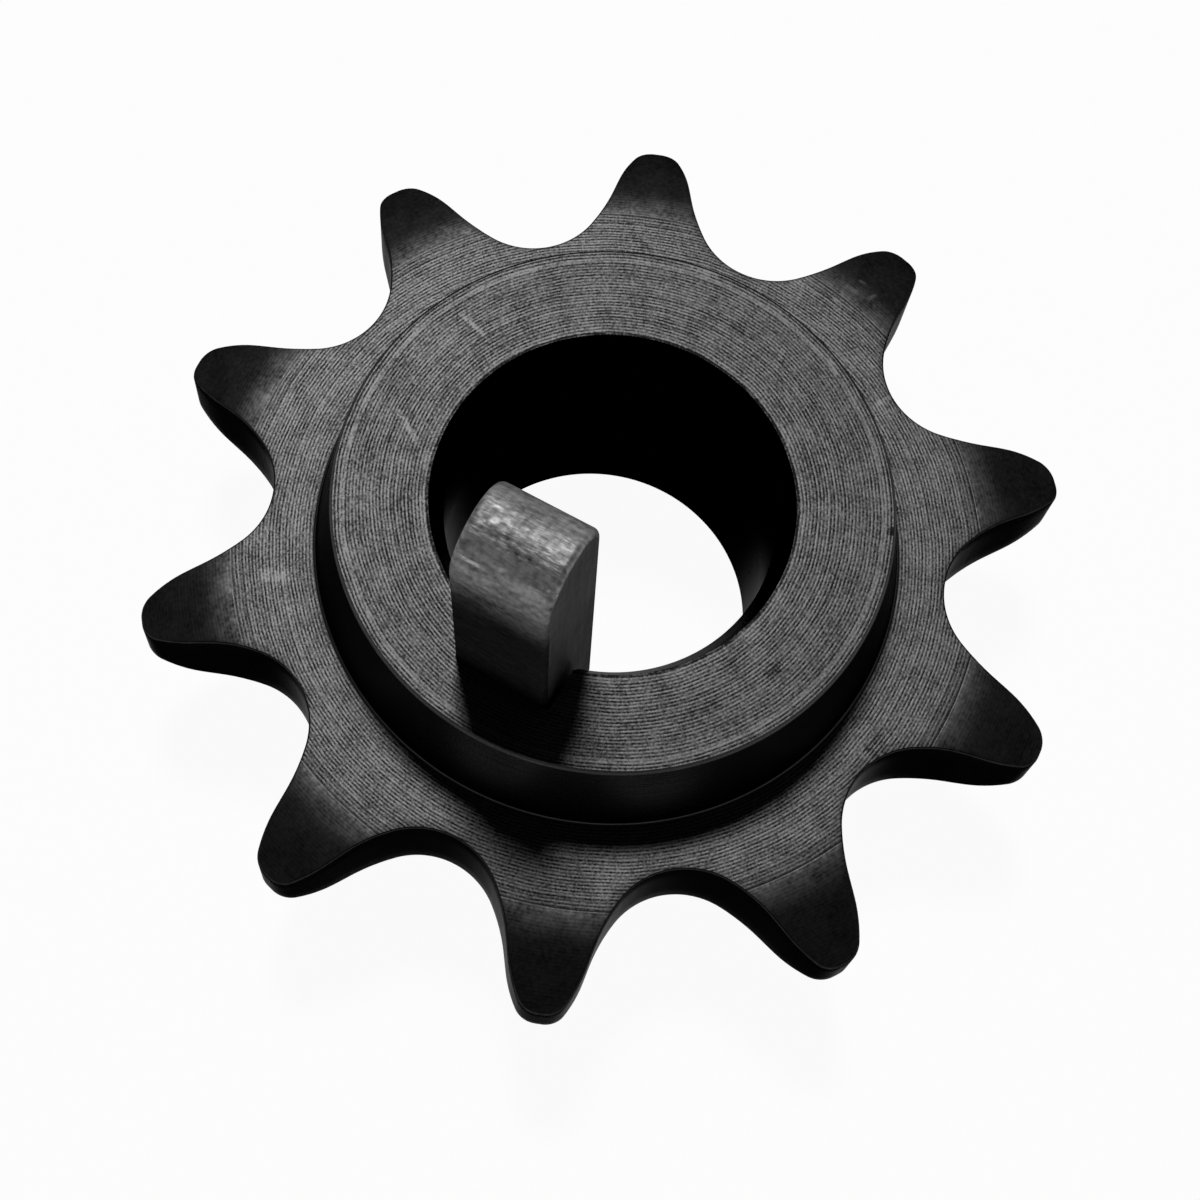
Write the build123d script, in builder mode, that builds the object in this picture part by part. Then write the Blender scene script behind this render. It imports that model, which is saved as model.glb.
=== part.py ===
"""Ten-tooth roller-chain sprocket with a hub on both sides of its plate, and its square key.

Frame: millimetres, the bore's axis is Z, the lower hub face lies on Z = 0 and the keyway opens along +X.
"""
import os
from math import asin, cos, radians, sin, tan

from build123d import *

# Chain: 12.7 mm pitch with 7.77 mm rollers
CHAIN_PITCH = 12.7
ROLLER_DIAMETER = 7.77
TEETH = 10

# Tooth gap: roller seat, working curve, short straight flank and topping curve up to the tip's land
SEAT_CLEARANCE = 0.015
SEAT_HALF_SPAN = 42.0
WORKING_RADIUS = 8.5
WORKING_SPAN = 16.5
FLANK_LENGTH = 0.9
TOOTH_RISE = 2.57
TIP_LAND = 1.6
TIP_FILLET = 1.15
LAND_ROUNDED_SHARE = 0.9
TOOTH_PHASE = 3.5

# Toothed plate and the bevel that narrows its teeth
PLATE_THICKNESS = 5.3
BEVEL_DEPTH = 4.7
BEVEL_LEAD = 4.0
BEVEL_RADIUS = 11.0
BEVEL_SPAN = 32.0

# Hub, the same on both sides of the plate
HUB_LENGTH = 15.875
HUB_BASE_DIAMETER = 28.5
HUB_DRAFT = 10.0
HUB_EDGE_CHAMFER = 0.12
HUB_ROOT_CHAMFER = 0.2

# Bore and keyway; the lead's slope is counted from the axis
BORE_DIAMETER = 15.875
BORE_CHAMFER = 0.45
BORE_LEAD = 0.73
BORE_LEAD_ANGLE = 22.0
KEYWAY_DEPTH = 2.63
KEYWAY_CORNER = 0.25

# Square key with a rounded upper end, pushed a little way into the keyway and leaning in its play
KEY_SIZE = 4.7625
KEY_LENGTH = 19.05
KEY_INSERTION = 6.35
KEY_LEAN = 2.0
KEY_EDGE = 0.3
KEY_CLEARANCE = 0.02

# How close a radius has to be for an edge to be picked by it
SELECT_TOLERANCE = 0.01

# Derived positions
pitch_radius = CHAIN_PITCH / (2 * sin(radians(180 / TEETH)))
tip_radius = pitch_radius + TOOTH_RISE
seat_radius = ROLLER_DIAMETER / 2 + SEAT_CLEARANCE
plate_bottom = (HUB_LENGTH - PLATE_THICKNESS) / 2
mid_section = Plane((0, 0, HUB_LENGTH / 2), x_dir=(1, 0, 0), z_dir=(0, -1, 0))
tip_angle = radians(180 / TEETH) - asin(TIP_LAND / 2 / tip_radius)
tip_corner = (tip_radius * cos(tip_angle) - pitch_radius, tip_radius * sin(tip_angle))
gap_mouth = TOOTH_RISE + TIP_FILLET
bevel_start = tip_radius - BEVEL_DEPTH
hub_base_radius = HUB_BASE_DIAMETER / 2
hub_end_radius = hub_base_radius - plate_bottom * tan(radians(HUB_DRAFT))
bore_radius = BORE_DIAMETER / 2
keyway_floor = bore_radius + KEYWAY_DEPTH
keyway_play = KEY_INSERTION * tan(radians(KEY_LEAN)) + 2 * KEY_CLEARANCE
keyway_width = KEY_SIZE / cos(radians(KEY_LEAN)) + keyway_play
key_centre = keyway_floor - KEY_CLEARANCE - KEY_SIZE / 2
key_seat = Location((key_centre, 0, HUB_LENGTH - KEY_INSERTION / 2), (KEY_LEAN, 0, 0))


def round_edges(builder: BuildPart, radius: float) -> ShapeList[Edge]:
    """Return the builder's circular edges of one radius."""
    circles = builder.edges().filter_by(GeomType.CIRCLE)
    return circles.filter_by(lambda edge: abs(edge.radius - radius) < SELECT_TOLERANCE)


with BuildPart() as sprocket:
    # Toothed plate: a disc with a roller gap cut at each pitch point
    with BuildSketch(Plane.XY.offset(plate_bottom).rotated((0, 0, TOOTH_PHASE))) as teeth:
        Circle(tip_radius)
        with BuildSketch(mode=Mode.PRIVATE) as gap:
            with BuildLine():
                seat = JernArc((-seat_radius, 0), (0, 1), seat_radius, -SEAT_HALF_SPAN)
                working = JernArc(seat @ 1, seat % 1, WORKING_RADIUS, -WORKING_SPAN)
                flank = Line(working @ 1, working @ 1 + (working % 1) * FLANK_LENGTH)
                topping = TangentArc(flank @ 1, tip_corner, tangent=flank % 1)
                Polyline(tip_corner, (gap_mouth, tip_corner[1]), (gap_mouth, 0))
                mirror(about=Plane.XZ)
            make_face()
        with PolarLocations(pitch_radius, TEETH):
            add(gap.sketch, mode=Mode.SUBTRACT)
        # The rounding gives way where the land between two corners is too short for it
        tip_turn = radians((topping % 1).get_angle(Vector(-sin(tip_angle), cos(tip_angle))))
        tip_room = LAND_ROUNDED_SHARE * TIP_LAND / 2 / tan(tip_turn / 2)
        fillet(teeth.vertices().group_by(SortBy.DISTANCE)[-1], min(TIP_FILLET, tip_room))
    extrude(amount=PLATE_THICKNESS)

    # Bevelled blank: both faces fall away in a form-tool arc towards the tips
    with BuildSketch(mid_section) as blank:
        with BuildLine():
            lead = (cos(radians(BEVEL_LEAD)), -sin(radians(BEVEL_LEAD)))
            Line((0, 0), (0, PLATE_THICKNESS / 2))
            Line((0, PLATE_THICKNESS / 2), (bevel_start, PLATE_THICKNESS / 2))
            bevel = JernArc((bevel_start, PLATE_THICKNESS / 2), lead, BEVEL_RADIUS, -BEVEL_SPAN)
            Line(bevel @ 1, ((bevel @ 1).X, 0))
            mirror(about=Plane.XZ)
        make_face()
    revolve(axis=Axis.Z, mode=Mode.INTERSECT)

    # Hub, drawn with a draft towards each end
    with BuildSketch(mid_section) as hub:
        with BuildLine():
            Polyline(
                (0, 0),
                (0, HUB_LENGTH / 2),
                (hub_end_radius, HUB_LENGTH / 2),
                (hub_base_radius, PLATE_THICKNESS / 2),
                (hub_base_radius, 0),
            )
            mirror(about=Plane.XZ)
        make_face()
    revolve(axis=Axis.Z)
    hub_ends = sprocket.faces().filter_by(Axis.Z).group_by(Axis.Z)
    chamfer(hub_ends[0].edges() + hub_ends[-1].edges(), HUB_EDGE_CHAMFER)
    chamfer(round_edges(sprocket, hub_base_radius), HUB_ROOT_CHAMFER)

    # Bore: a chamfer at its lower mouth and a long steep lead at the upper one, where the shaft enters
    with BuildSketch(Plane.XZ) as bore:
        with BuildLine():
            Polyline(
                (0, 0),
                (bore_radius + BORE_CHAMFER, 0),
                (bore_radius, BORE_CHAMFER),
                (bore_radius, HUB_LENGTH - BORE_LEAD / tan(radians(BORE_LEAD_ANGLE))),
                (bore_radius + BORE_LEAD, HUB_LENGTH),
                (0, HUB_LENGTH),
                close=True,
            )
        make_face()
    revolve(axis=Axis.Z, mode=Mode.SUBTRACT)

    # Keyway, broached through the whole hub
    with BuildSketch(Plane.XY) as keyway:
        Rectangle(keyway_floor, keyway_width, align=(Align.MIN, Align.CENTER))
        fillet(keyway.vertices().group_by(Axis.X)[-1], KEYWAY_CORNER)
    extrude(amount=HUB_LENGTH, mode=Mode.SUBTRACT)

with BuildPart() as upright_key:
    # Drawn upright from the middle of the piece that stands in the keyway
    straight = KEY_LENGTH - KEY_SIZE / 2
    with BuildSketch(Plane.XZ) as key_side:
        with Locations((0, -KEY_INSERTION / 2)):
            Rectangle(KEY_SIZE, straight, align=(Align.CENTER, Align.MIN))
        with Locations((0, straight - KEY_INSERTION / 2)):
            Circle(KEY_SIZE / 2)
    extrude(amount=KEY_SIZE / 2, both=True)
    smooth_seams = upright_key.edges().filter_by(Axis.Y).group_by(Axis.Z)[-1]
    fillet(upright_key.edges() - smooth_seams, KEY_EDGE)

key = upright_key.part.moved(key_seat)

sprocket.part.label = "sprocket"
key.label = "key"

os.makedirs("parts", exist_ok=True)
export_step(sprocket.part, "parts/sprocket.step")
export_step(key, "parts/key.step")
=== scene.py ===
"""Dressed model of a ten-tooth roller-chain sprocket and the key that stands in its keyway.

Frame: the bore's axis is Z, the lower hub face lies on Z = 0 and the keyway opens along +X.
The classes hold their sizes in millimetres; a mesh is made in metres.
"""
import logging
from collections.abc import Callable, Iterable, Sequence
from dataclasses import dataclass, field
from enum import Enum, IntEnum
from functools import partialmethod
from math import asin, atan2, ceil, cos, pi, radians, sin, sqrt, tan

import bmesh
import bpy
from mathutils import Matrix, Vector


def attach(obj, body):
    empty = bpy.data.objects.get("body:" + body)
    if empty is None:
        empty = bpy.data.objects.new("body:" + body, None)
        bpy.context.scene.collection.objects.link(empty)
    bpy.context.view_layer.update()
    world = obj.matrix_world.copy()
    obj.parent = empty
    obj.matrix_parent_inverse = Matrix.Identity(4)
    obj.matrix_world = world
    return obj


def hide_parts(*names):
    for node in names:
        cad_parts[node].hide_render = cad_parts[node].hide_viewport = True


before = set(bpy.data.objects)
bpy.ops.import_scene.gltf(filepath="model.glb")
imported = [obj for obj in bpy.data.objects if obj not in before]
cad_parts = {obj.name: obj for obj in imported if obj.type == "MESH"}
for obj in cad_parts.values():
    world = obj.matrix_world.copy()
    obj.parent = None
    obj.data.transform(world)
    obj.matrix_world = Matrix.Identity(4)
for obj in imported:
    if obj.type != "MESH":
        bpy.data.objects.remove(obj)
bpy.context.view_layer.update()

MM = 0.001
BODY = "root"

log = logging.getLogger("sprocket")

# Short names: three numbers, an outline's stops with their headings, a socket and a group's inputs
Triple = tuple[float, float, float]
Trail = list[tuple[Vector, float]]
Socket = bpy.types.NodeSocket
Given = bpy.types.NodeOutputs


# ---------------------------------------------------------------- node sheets


class NodeSheet:
    """One node tree, with short calls that place a node and join its sockets."""

    def __init__(self, tree: bpy.types.NodeTree) -> None:
        """Hold the tree that the nodes go into.

        Args:
            tree: An empty or part-filled node tree.
        """
        self.tree = tree

    def add(self, kind: str, feeds: dict | None = None, **settings: object) -> bpy.types.Node:
        """Place a node, set its properties and feed its inputs.

        Args:
            kind: The node's type name.
            feeds: Input name or number to a socket, which is linked, or a value, which is set.
            **settings: Properties of the node itself.

        Returns:
            The node.
        """
        node = self.tree.nodes.new(kind)
        for name, value in settings.items():
            setattr(node, name, value)
        for key, value in (feeds or {}).items():
            if isinstance(value, Socket):
                self.tree.links.new(value, node.inputs[key])
            else:
                node.inputs[key].default_value = value
        return node

    def math(self, operation: str, *values: object, clamp: bool = False) -> Socket:
        """Place a Math node.

        Args:
            operation: Blender's name of the operation.
            *values: Sockets or numbers for its inputs, in order.
            clamp: Whether the result is held between 0 and 1.

        Returns:
            The node's result.
        """
        return self.add("ShaderNodeMath", dict(enumerate(values)), operation=operation,
                        use_clamp=clamp).outputs[0]

    times = partialmethod(math, "MULTIPLY")
    plus = partialmethod(math, "ADD")
    minus = partialmethod(math, "SUBTRACT")

    def vector(self, operation: str, *values: object) -> bpy.types.Node:
        """Place a Vector Math node.

        Args:
            operation: Blender's name of the operation.
            *values: Sockets or vectors for its inputs, in order.

        Returns:
            The node.
        """
        return self.add("ShaderNodeVectorMath", dict(enumerate(values)), operation=operation)

    def ramp(self, value: object, start: object, end: object, low: object = 0.0,
             high: object = 1.0) -> Socket:
        """Map a value smoothly from one range to another.

        Args:
            value: The socket that is mapped.
            start: Value that gives low.
            end: Value that gives high.
            low: Result at and before start.
            high: Result at and past end.

        Returns:
            The mapped value.
        """
        feeds = {"Value": value, "From Min": start, "From Max": end, "To Min": low, "To Max": high}
        return self.add("ShaderNodeMapRange", feeds, interpolation_type="SMOOTHSTEP").outputs[0]

    def noise(self, place: object, size: object, detail: float = 2.0) -> Socket:
        """Place a three-dimensional noise.

        Args:
            place: The coordinates that it reads, in metres.
            size: The width of one spot, in metres.
            detail: How many finer layers it adds.

        Returns:
            The noise, from 0 to 1.
        """
        feeds = {"Vector": place, "Scale": self.math("DIVIDE", 1.0, size), "Detail": detail}
        return self.add("ShaderNodeTexNoise", feeds).outputs[0]


def grey(level: float) -> tuple[float, ...]:
    """Return a grey as an opaque colour."""
    return (level, level, level, 1.0)


def blank_material(name: str) -> tuple[bpy.types.Material, NodeSheet]:
    """Return a new material without nodes, and the sheet of its tree."""
    material = bpy.data.materials.new(name)
    material.use_nodes = True
    material.node_tree.nodes.clear()
    return material, NodeSheet(material.node_tree)


@dataclass
class Effect:
    """A shader node group that several finishes share.

    Attributes:
        name: The group's name.
        inputs: Names of its inputs; those in VECTORS are vectors, the others are numbers.
        outputs: Names of the values that it gives.
        wire: Fills the group from its sheet and input sockets, and returns its outputs' sockets.
    """

    VECTORS = ("Place", "Start", "End", "Squeeze")

    name: str
    inputs: tuple[str, ...]
    outputs: tuple[str, ...]
    wire: Callable[[NodeSheet, Given], tuple[Socket, ...]]

    def group(self) -> bpy.types.NodeTree:
        """Return the group, built at its first use."""
        if self.name in bpy.data.node_groups:
            return bpy.data.node_groups[self.name]
        tree = bpy.data.node_groups.new(self.name, "ShaderNodeTree")
        for name in self.inputs:
            kind = "NodeSocketVector" if name in self.VECTORS else "NodeSocketFloat"
            tree.interface.new_socket(name, in_out="INPUT", socket_type=kind)
        for name in self.outputs:
            tree.interface.new_socket(name, in_out="OUTPUT", socket_type="NodeSocketFloat")
        sheet = NodeSheet(tree)
        made = self.wire(sheet, sheet.add("NodeGroupInput").outputs)
        sheet.add("NodeGroupOutput", dict(zip(self.outputs, made)))
        return tree

    def place(self, sheet: NodeSheet, **feeds: object) -> Given:
        """Place the group in a material.

        Args:
            sheet: The material's sheet.
            **feeds: Values or sockets, by the input's name with underscores for its spaces.

        Returns:
            The group node's outputs.
        """
        named = {name.replace("_", " "): value for name, value in feeds.items()}
        return sheet.add("ShaderNodeGroup", named, node_tree=self.group()).outputs


def wire_axis(sheet: NodeSheet, given: Given) -> tuple[Socket, ...]:
    """Wire the distance from the Z axis.

    Args:
        sheet: The group's sheet.
        given: The group's input: Place.

    Returns:
        The distance.
    """
    flat = sheet.vector("MULTIPLY", given["Place"], (1.0, 1.0, 0.0)).outputs["Vector"]
    return (sheet.vector("LENGTH", flat).outputs["Value"],)


def wire_turning(sheet: NodeSheet, given: Given) -> tuple[Socket, ...]:
    """Wire concentric tool marks round the Z axis, as a lathe leaves them.

    Args:
        sheet: The group's sheet.
        given: The group's inputs: Place, Radius, Pitch and Breakup.

    Returns:
        The marks' height, from 0 to 1.
    """
    drift_size, drift_turns = 14.0, 0.9
    break_size, break_from, break_to = 2.2, 0.36, 0.62
    ridge_share, swell_share, swell_scale = 0.42, 0.6, 0.83
    place, pitch = given["Place"], given["Pitch"]
    turns = sheet.math("DIVIDE", given["Radius"], pitch)
    drift = sheet.noise(place, sheet.times(pitch, drift_size), detail=1.0)
    phase = sheet.plus(turns, sheet.times(drift, drift_turns))
    wave = sheet.math("SINE", sheet.times(phase, 2 * pi))
    uneven = sheet.add("ShaderNodeTexNoise", {"W": phase, "Scale": swell_scale, "Detail": 2.0},
                       noise_dimensions="1D").outputs[0]
    breaks = sheet.noise(place, sheet.times(pitch, break_size), detail=3.0)
    weight = sheet.times(sheet.ramp(breaks, break_from, break_to), given["Breakup"])
    strength = sheet.minus(1.0, weight)
    ridge = sheet.times(sheet.times(wave, strength), ridge_share)
    swell = sheet.times(sheet.minus(uneven, 0.5), swell_share)
    return (sheet.plus(sheet.plus(ridge, swell), 0.5, clamp=True),)


def wire_ring(sheet: NodeSheet, given: Given) -> tuple[Socket, ...]:
    """Wire one thin line round the Z axis that comes and goes a little.

    Args:
        sheet: The group's sheet.
        given: The group's inputs: Place, Radius, Middle and Width.

    Returns:
        The line's mask, 1 along its middle.
    """
    gap_size, gap_from, gap_to, least = 1.2 * MM, 0.35, 0.65, 0.5
    away = sheet.math("ABSOLUTE", sheet.minus(given["Radius"], given["Middle"]))
    line = sheet.ramp(away, 0.0, sheet.times(given["Width"], 0.5), low=1.0, high=0.0)
    worn = sheet.ramp(sheet.noise(given["Place"], gap_size), gap_from, gap_to, low=least)
    return (sheet.times(line, worn),)


def wire_mottle(sheet: NodeSheet, given: Given) -> tuple[Socket, ...]:
    """Wire the specks and clouds of a chemical black finish.

    Args:
        sheet: The group's sheet.
        given: The group's inputs: Place, Speck Size and Cloud Size.

    Returns:
        Specks and clouds, each about 0.5 with swings either way.
    """
    return (sheet.noise(given["Place"], given["Speck Size"], detail=4.0),
            sheet.noise(given["Place"], given["Cloud Size"], detail=3.0))


def wire_scratch(sheet: NodeSheet, given: Given) -> tuple[Socket, ...]:
    """Wire one straight scratch that thins out at both ends.

    Args:
        sheet: The group's sheet.
        given: The group's inputs: Place, Start, End and Width.

    Returns:
        The scratch's mask, 1 along its middle.
    """
    core, end_slope = 0.3, 6.0
    gap_size, gap_from, gap_to, least = 0.35 * MM, 0.38, 0.6, 0.25
    run = sheet.vector("SUBTRACT", given["End"], given["Start"]).outputs["Vector"]
    reach = sheet.vector("SUBTRACT", given["Place"], given["Start"]).outputs["Vector"]
    along = sheet.vector("DOT_PRODUCT", reach, run).outputs["Value"]
    whole = sheet.vector("DOT_PRODUCT", run, run).outputs["Value"]
    share = sheet.math("DIVIDE", along, whole, clamp=True)
    foot = sheet.add("ShaderNodeVectorMath", {0: run, "Scale": share}, operation="SCALE")
    gap = sheet.vector("SUBTRACT", reach, foot.outputs["Vector"]).outputs["Vector"]
    distance = sheet.vector("LENGTH", gap).outputs["Value"]
    whole_to = sheet.times(given["Width"], core)
    line = sheet.ramp(distance, whole_to, given["Width"], low=1.0, high=0.0)
    worn = sheet.ramp(sheet.noise(given["Place"], gap_size), gap_from, gap_to, low=least)
    taper = sheet.minus(1.0, share)
    ends = sheet.times(sheet.times(share, taper), end_slope, clamp=True)
    return (sheet.times(sheet.times(line, worn), ends),)


def wire_grain(sheet: NodeSheet, given: Given) -> tuple[Socket, ...]:
    """Wire straight marks, drawn, broached or sawn, that run along one direction.

    Args:
        sheet: The group's sheet.
        given: The group's inputs: Place, Squeeze, which is small along the marks, and Size.

    Returns:
        The marks, from 0 to 1.
    """
    fine_size, coarse_share = 0.31, 0.6
    squeezed = sheet.vector("MULTIPLY", given["Place"], given["Squeeze"]).outputs["Vector"]
    coarse = sheet.noise(squeezed, given["Size"], detail=3.0)
    fine = sheet.noise(squeezed, sheet.times(given["Size"], fine_size))
    return (sheet.plus(sheet.times(coarse, coarse_share),
                       sheet.times(fine, 1 - coarse_share)),)


AXIS = Effect("axis_distance", ("Place",), ("Radius",), wire_axis)
TURNING = Effect("turning_marks", ("Place", "Radius", "Pitch", "Breakup"), ("Height",),
                 wire_turning)
RING = Effect("ring_line", ("Place", "Radius", "Middle", "Width"), ("Mask",), wire_ring)
MOTTLE = Effect("oxide_mottle", ("Place", "Speck Size", "Cloud Size"), ("Specks", "Clouds"),
                wire_mottle)
SCRATCH = Effect("scratch", ("Place", "Start", "End", "Width"), ("Mask",), wire_scratch)
GRAIN = Effect("straight_grain", ("Place", "Squeeze", "Size"), ("Marks",), wire_grain)


# ------------------------------------------------------------------- finishes


class Marks(Enum):
    """How a tool has marked a surface; straight marks give their squeeze along X, Y and Z."""

    TURNED = None
    ALONG_AXIS = (1.0, 1.0, 0.05)
    ACROSS_KEY = (1.0, 0.3, 0.8)


class Measure(Enum):
    """What the fade of a painted shade is measured by."""

    RADIUS = "distance from the bore's axis"
    HEIGHT = "height above the lower hub face"


@dataclass(frozen=True)
class Scratch:
    """A straight scratch or rubbed spot on a face.

    Attributes:
        start: One end, in millimetres.
        end: The other end, in millimetres.
        width: Distance from its middle at which it has faded out, in millimetres.
        tone: How much lighter it is than the face; below 0 it is darker.
    """

    start: Triple
    end: Triple
    width: float = 0.12
    tone: float = 0.6


@dataclass(frozen=True)
class Ring:
    """A thin line round the axis; a lighter one is a painted highlight, a darker one painted shade
    along an edge.

    Attributes:
        radius: Its radius, in millimetres.
        width: Its full width, in millimetres.
        tone: How much lighter it is than the face; below 0 it is darker.
    """

    radius: float
    width: float
    tone: float


@dataclass(frozen=True)
class Finish:
    """A dark steel finish over one kind of cut or drawn surface.

    Attributes:
        name: The material's name.
        shade: Colour of the low, dark spots.
        crest: Colour of the high, rubbed spots.
        roughness: Roughness of the crests and of the low spots.
        marks: The tool marks.
        pitch: Distance between two marks, in millimetres.
        depth: Height of the marks, in millimetres.
        mark_tone: Share of the marks in the colour.
        breakup: How far the marks fade in places, from 0 to 1.
        speck: Width of the specks, in millimetres.
        speck_tone: Share of the specks in the colour.
        cloud: Width of the clouds, in millimetres.
        cloud_tone: Share of the clouds in the colour.
        fade: Where the tone is still whole and where painted shade has taken it away, in
            millimetres.
        fade_by: What the fade is measured by.
        fade_tone: Share of the tone that the painted shade takes away past the fade; without a fade
            it is 0.
        rings: Lines round the axis.
        scratches: Scratches and rubbed spots.
        spread: How much wider the reflection is across turning marks than along them, from 0 to 1.
        metallic: How far the surface reflects as bare metal.
        edge_tint: Strength of the reflection at a grazing angle.
    """

    name: str
    shade: float
    crest: float
    roughness: tuple[float, float] = (0.30, 0.38)
    marks: Marks = Marks.TURNED
    pitch: float = 0.15
    depth: float = 0.003
    mark_tone: float = 0.5
    breakup: float = 0.6
    speck: float = 0.12
    speck_tone: float = 0.6
    cloud: float = 2.6
    cloud_tone: float = 0.4
    fade: tuple[float, float] = (0.0, 1.0)
    fade_by: Measure = Measure.RADIUS
    fade_tone: float = 0.0
    rings: tuple[Ring, ...] = ()
    scratches: tuple[Scratch, ...] = ()
    spread: float = 0.0
    metallic: float = 1.0
    edge_tint: float = 0.25

    def material(self) -> bpy.types.Material:
        """Return the finish as a material, built at its first use."""
        if self.name in bpy.data.materials:
            return bpy.data.materials[self.name]
        material, sheet = blank_material(self.name)
        place = sheet.add("ShaderNodeTexCoord").outputs["Object"]
        radius = AXIS.place(sheet, Place=place)["Radius"]
        height = self.mark_height(sheet, place, radius)
        tone = self.tone(sheet, place, radius, height)
        colour = sheet.add("ShaderNodeMix", {"Factor": tone}, data_type="RGBA")
        colour.inputs["A"].default_value = grey(self.shade)
        colour.inputs["B"].default_value = grey(self.crest)
        bump = sheet.add("ShaderNodeBump", {"Height": height, "Distance": self.depth * MM})
        shader = sheet.add("ShaderNodeBsdfPrincipled", {
            "Base Color": colour.outputs["Result"],
            "Roughness": sheet.ramp(tone, 0.0, 1.0, low=self.roughness[1], high=self.roughness[0]),
            "Metallic": self.metallic,
            "Specular Tint": grey(self.edge_tint),
            "Normal": bump.outputs["Normal"],
        })
        if self.spread:
            shader.inputs["Anisotropic"].default_value = self.spread
            sheet.tree.links.new(place, shader.inputs["Tangent"])
        sheet.add("ShaderNodeOutputMaterial", {"Surface": shader.outputs["BSDF"]})
        return material

    def mark_height(self, sheet: NodeSheet, place: Socket, radius: Socket) -> Socket:
        """Place the tool marks.

        Args:
            sheet: The material's sheet.
            place: Object coordinates.
            radius: The distance from the axis.

        Returns:
            The marks' height, from 0 to 1.
        """
        pitch = self.pitch * MM
        if self.marks is Marks.TURNED:
            return TURNING.place(sheet, Place=place, Radius=radius, Pitch=pitch,
                                 Breakup=self.breakup)["Height"]
        return GRAIN.place(sheet, Place=place, Squeeze=self.marks.value, Size=pitch)["Marks"]

    def tone(self, sheet: NodeSheet, place: Socket, radius: Socket, height: Socket) -> Socket:
        """Mix the marks, specks, clouds, the fade's painted shade, rings and scratches into one
        tone.

        Args:
            sheet: The material's sheet.
            place: Object coordinates.
            radius: The distance from the axis.
            height: The marks' height.

        Returns:
            The tone, 0 where the surface is darkest.
        """
        mottle = MOTTLE.place(sheet, Place=place, Speck_Size=self.speck * MM,
                              Cloud_Size=self.cloud * MM)
        tone = sheet.times(sheet.minus(height, 0.5), self.mark_tone)
        for kind, share in (("Specks", self.speck_tone), ("Clouds", self.cloud_tone)):
            swing = sheet.times(sheet.minus(mottle[kind], 0.5), share)
            tone = sheet.plus(tone, swing)
        tone = sheet.plus(tone, 0.5, clamp=True)
        # Painted shade: past the fade the tone falls away, so the key darkens downwards and the
        # bevel towards the tips.
        if self.fade_tone:
            level = sheet.add("ShaderNodeSeparateXYZ", {"Vector": place}).outputs["Z"]
            measured = {Measure.RADIUS: radius, Measure.HEIGHT: level}[self.fade_by]
            whole_to, lost_from = (edge * MM for edge in self.fade)
            unshaded_share = sheet.ramp(measured, whole_to, lost_from, low=1.0, high=1.0 - self.fade_tone)
            tone = sheet.times(tone, unshaded_share)
        for ring in self.rings:
            mask = RING.place(sheet, Place=place, Radius=radius, Middle=ring.radius * MM,
                              Width=ring.width * MM)["Mask"]
            tone = sheet.plus(tone, sheet.times(mask, ring.tone), clamp=True)
        for scratch in self.scratches:
            mask = SCRATCH.place(sheet, Place=place, Start=Vector(scratch.start) * MM,
                                 End=Vector(scratch.end) * MM, Width=scratch.width * MM)["Mask"]
            tone = sheet.plus(tone, sheet.times(mask, scratch.tone), clamp=True)
        return tone


# ------------------------------------------------------------- outline helper


class Pen:
    """Walks along tangent arcs and lines in a plane and keeps its trail.

    Each stop of the trail is a point and the heading there; the metal lies on the left.
    """

    ARC_STEP = radians(3.0)

    def __init__(self, start: Vector, heading: float) -> None:
        """Set the pen down.

        Args:
            start: Its first point.
            heading: Its direction, as an angle from the first axis.
        """
        self.trail: Trail = [(start, heading)]

    @staticmethod
    def left(heading: float) -> Vector:
        """Return the unit vector to the left of a heading."""
        return Vector((-sin(heading), cos(heading)))

    def arc(self, radius: float, turn: float, steps: int = 0) -> None:
        """Follow an arc.

        Args:
            radius: The arc's radius.
            turn: The angle that the heading turns through, positive to the left.
            steps: Number of stops along it; chosen from the turn when 0.
        """
        start, heading = self.trail[-1]
        side = radius if turn > 0 else -radius
        centre = start + self.left(heading) * side
        steps = steps or max(2, ceil(abs(turn) / self.ARC_STEP))
        for step in range(1, steps + 1):
            now = heading + turn * step / steps
            self.trail.append((centre - self.left(now) * side, now))

    def line(self, length: float, steps: int = 1) -> None:
        """Follow a straight line.

        Args:
            length: The line's length.
            steps: Number of stops along it.
        """
        start, heading = self.trail[-1]
        ahead = Vector((cos(heading), sin(heading)))
        for step in range(1, steps + 1):
            self.trail.append((start + ahead * (length * step / steps), heading))


def polar(radius: float, angle: float, height: float) -> Vector:
    """Return the point at a radius, an angle from +X and a height."""
    return Vector((radius * cos(angle), radius * sin(angle), height))


def rounded(corners: Sequence[Triple], steps: int = 4) -> list[Vector]:
    """Round the corners of a run of straight lines.

    Args:
        corners: First and second coordinate and rounding radius of each corner.
        steps: Number of pieces in each rounding.

    Returns:
        The points of the run; a sharp corner gives one point.
    """
    points = []
    for index, (first, second, radius) in enumerate(corners):
        corner = Vector((first, second))
        if not radius:
            points.append(corner)
            continue
        before = (Vector(corners[index - 1][:2]) - corner).normalized()
        after = (Vector(corners[index + 1][:2]) - corner).normalized()
        half = before.angle(after) / 2
        centre = corner + (before + after).normalized() * (radius / sin(half))
        start = corner + before * (radius / tan(half)) - centre
        end = corner + after * (radius / tan(half)) - centre
        sweep = start.angle(end)
        for step in range(steps + 1):
            share = step / steps
            blend = start * sin((1 - share) * sweep) + end * sin(share * sweep)
            points.append(centre + blend / sin(sweep))
    return points


# ------------------------------------------------------------------- sprocket


class Skin(IntEnum):
    """Kinds of surface on the sprocket; each number is the material slot of that kind."""

    HUB_FACE = 0
    PLATE_FACE = 1
    BEVEL = 2
    TOOTH_SIDE = 3
    HUB_WALL = 4
    CHAMFER = 5
    BORE = 6
    KEYWAY = 7


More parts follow.
